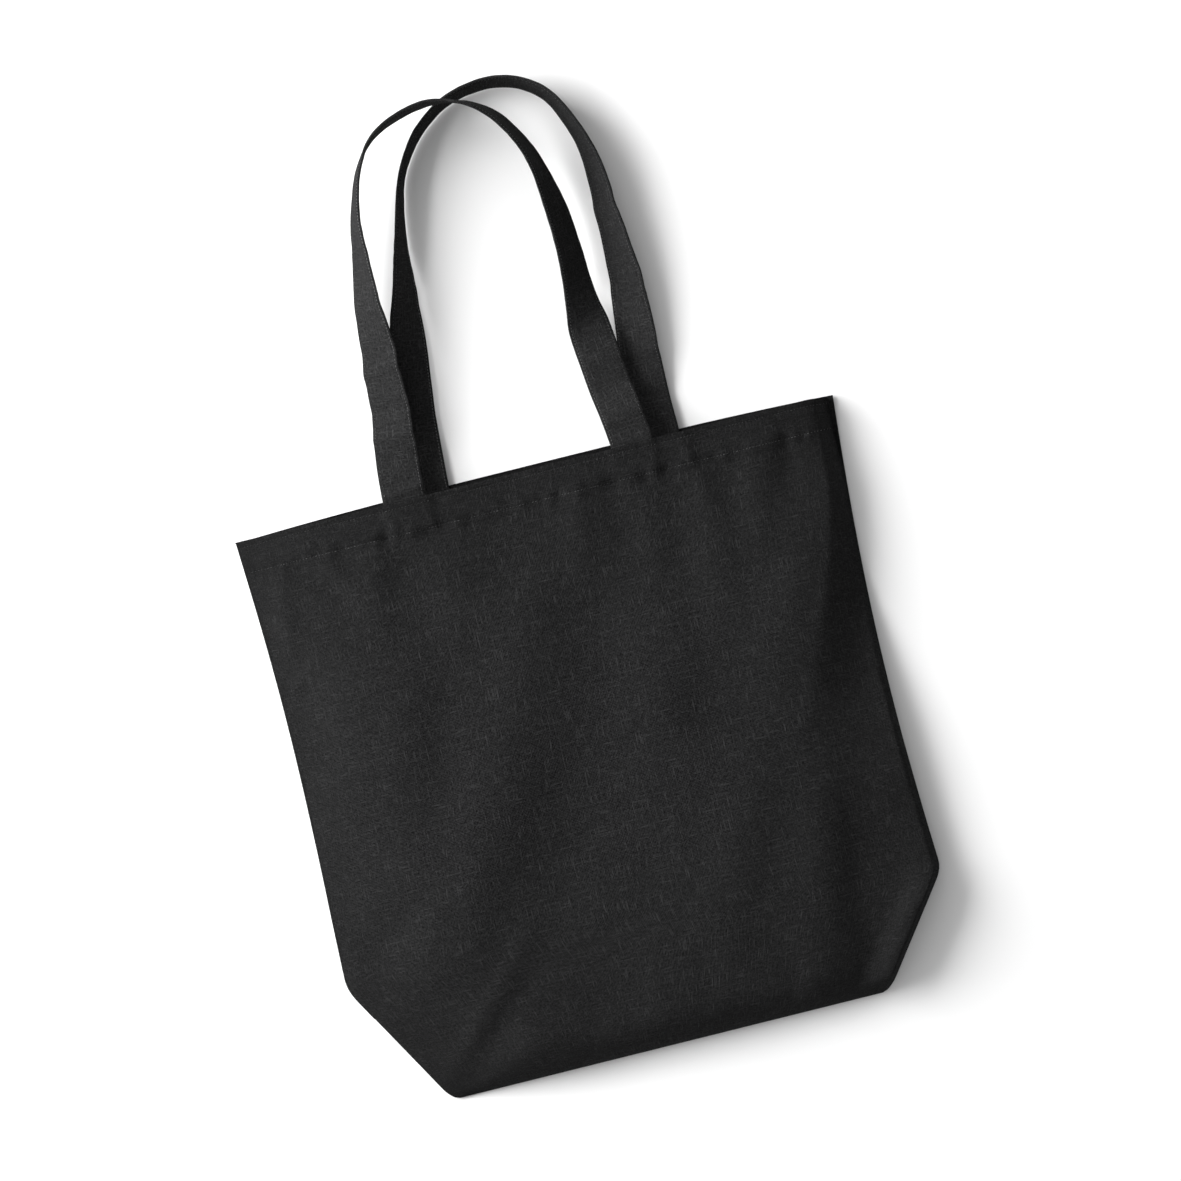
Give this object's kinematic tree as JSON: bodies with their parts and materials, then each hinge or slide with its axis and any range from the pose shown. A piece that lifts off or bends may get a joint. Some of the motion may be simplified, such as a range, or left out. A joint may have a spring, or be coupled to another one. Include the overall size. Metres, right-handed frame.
{
  "type": "canvas tote bag",
  "caption": "Long-handled cotton canvas tote bag lying flat on its back, with a boxed base folded behind it and two sewn strap handles that swing.",
  "frame": {"origin": "middle of the whole outline, bag and handles, on the surface that the bag lies on", "axes": "+X along the mouth to the right as the front is seen, +Y from the base towards the handles, +Z out of the front panel"},
  "size_m": [0.425, 0.679, 0.064],
  "materials": {
    "canvas": "matte plain-weave cotton canvas",
    "inside_canvas": "matte cotton canvas, turned and overlocked inside the bag",
    "strap_canvas": "matte cotton canvas folded four times into a strap",
    "thread": "satin sewing thread"
  },
  "bodies": {
    "bag": {"front_panel": "canvas", "back_panel": "canvas", "back_tuck": "inside_canvas", "base_panel": "canvas", "front_hem": "inside_canvas", "back_hem": "inside_canvas", "left_side_seam": "inside_canvas", "right_side_seam": "inside_canvas", "left_corner_seam": "inside_canvas", "right_corner_seam": "inside_canvas", "base_seam": "inside_canvas", "front_handle_left_end": "strap_canvas", "front_handle_right_end": "strap_canvas", "back_handle_left_end": "strap_canvas", "back_handle_right_end": "strap_canvas", "front_top_stitching": "thread", "front_hem_stitching": "thread", "back_top_stitching": "thread", "back_hem_stitching": "thread"},
    "front_handle": {"front_handle": "strap_canvas", "front_handle_stitching": "thread"},
    "back_handle": {"back_handle": "strap_canvas", "back_handle_stitching": "thread"}
  },
  "joints": [
    {"name": "front_handle_swing", "type": "hinge", "parent": "bag", "child": "front_handle", "pos_m": [0, 0.08249, 0.0205], "axis": [1, 0, 0], "range_deg": [0, 135]},
    {"name": "back_handle_swing", "type": "hinge", "parent": "bag", "child": "back_handle", "pos_m": [0, 0.08249, 0.0052], "axis": [1, 0, 0], "range_deg": [-135, 0]}
  ]
}
